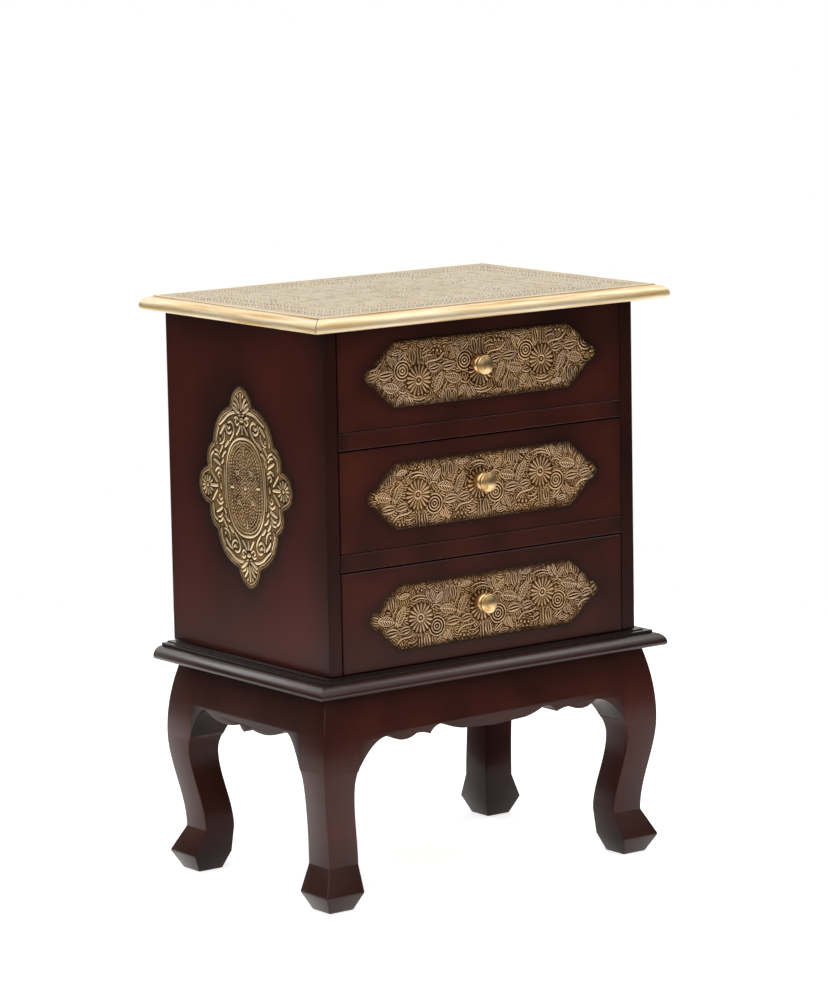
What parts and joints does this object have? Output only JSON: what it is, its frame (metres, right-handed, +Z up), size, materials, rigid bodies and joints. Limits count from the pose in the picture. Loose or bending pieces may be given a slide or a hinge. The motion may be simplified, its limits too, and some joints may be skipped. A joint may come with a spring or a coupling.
{
  "type": "nightstand",
  "caption": "Bedside nightstand with sliding drawers in a dark stained wooden case on scalloped aprons and sawn cabriole legs, faced with embossed brass on its top, sides and drawer fronts.",
  "frame": {"origin": "on the floor, under the middle of the top", "axes": "+Z up, front towards -Y, X across the width"},
  "size_m": [0.456, 0.318, 0.61],
  "materials": {
    "stained_wood": "dark red-brown stain under glossy lacquer, burnished darker towards the edges",
    "plain_wood": "bare planed hardwood",
    "pale_brass_sheet": "finely embossed, lacquered",
    "edge_brass": "smooth satin sheet",
    "embossed_brass": "embossed sheet with darkened recesses and rubbed ridges",
    "knob_brass": "turned and polished",
    "zinc_steel": "zinc plated"
  },
  "bodies": {
    "cabinet": {"leg_front_left": "stained_wood", "leg_front_right": "stained_wood", "leg_back_left": "stained_wood", "leg_back_right": "stained_wood", "apron_front": "stained_wood", "apron_back": "stained_wood", "apron_left": "stained_wood", "apron_right": "stained_wood", "corner_block_front_left": "plain_wood", "corner_block_front_right": "plain_wood", "corner_block_back_left": "plain_wood", "corner_block_back_right": "plain_wood", "waist_board": "stained_wood", "side_panel_left": "stained_wood", "side_panel_right": "stained_wood", "back_panel": "plain_wood", "drawer_rail_upper": "stained_wood", "drawer_rail_lower": "stained_wood", "runner_upper_left": "plain_wood", "runner_upper_right": "plain_wood", "runner_lower_left": "plain_wood", "runner_lower_right": "plain_wood", "top_cleat_left": "plain_wood", "top_cleat_right": "plain_wood", "top_screw_front_left": "zinc_steel", "top_screw_front_right": "zinc_steel", "top_screw_back_left": "zinc_steel", "top_screw_back_right": "zinc_steel", "top_board": "stained_wood", "top_sheet": "pale_brass_sheet", "edge_clad_front": "edge_brass", "edge_clad_back": "edge_brass", "edge_clad_left": "edge_brass", "edge_clad_right": "edge_brass", "medallion_left": "embossed_brass", "medallion_right": "embossed_brass"},
    "drawer1": {"drawer1_front": "stained_wood", "drawer1_side_left": "plain_wood", "drawer1_side_right": "plain_wood", "drawer1_back": "plain_wood", "drawer1_bottom": "plain_wood", "drawer1_plate": "embossed_brass", "drawer1_knob": "knob_brass", "drawer1_knob_screw": "zinc_steel"},
    "drawer2": {"drawer2_front": "stained_wood", "drawer2_side_left": "plain_wood", "drawer2_side_right": "plain_wood", "drawer2_back": "plain_wood", "drawer2_bottom": "plain_wood", "drawer2_plate": "embossed_brass", "drawer2_knob": "knob_brass", "drawer2_knob_screw": "zinc_steel"},
    "drawer3": {"drawer3_front": "stained_wood", "drawer3_side_left": "plain_wood", "drawer3_side_right": "plain_wood", "drawer3_back": "plain_wood", "drawer3_bottom": "plain_wood", "drawer3_plate": "embossed_brass", "drawer3_knob": "knob_brass", "drawer3_knob_screw": "zinc_steel"}
  },
  "joints": [
    {"name": "drawer1_slide", "type": "slide", "parent": "cabinet", "child": "drawer1", "axis": [0, -1, 0], "range_m": [0, 0.19]},
    {"name": "drawer2_slide", "type": "slide", "parent": "cabinet", "child": "drawer2", "axis": [0, -1, 0], "range_m": [0, 0.19]},
    {"name": "drawer3_slide", "type": "slide", "parent": "cabinet", "child": "drawer3", "axis": [0, -1, 0], "range_m": [0, 0.19]}
  ]
}
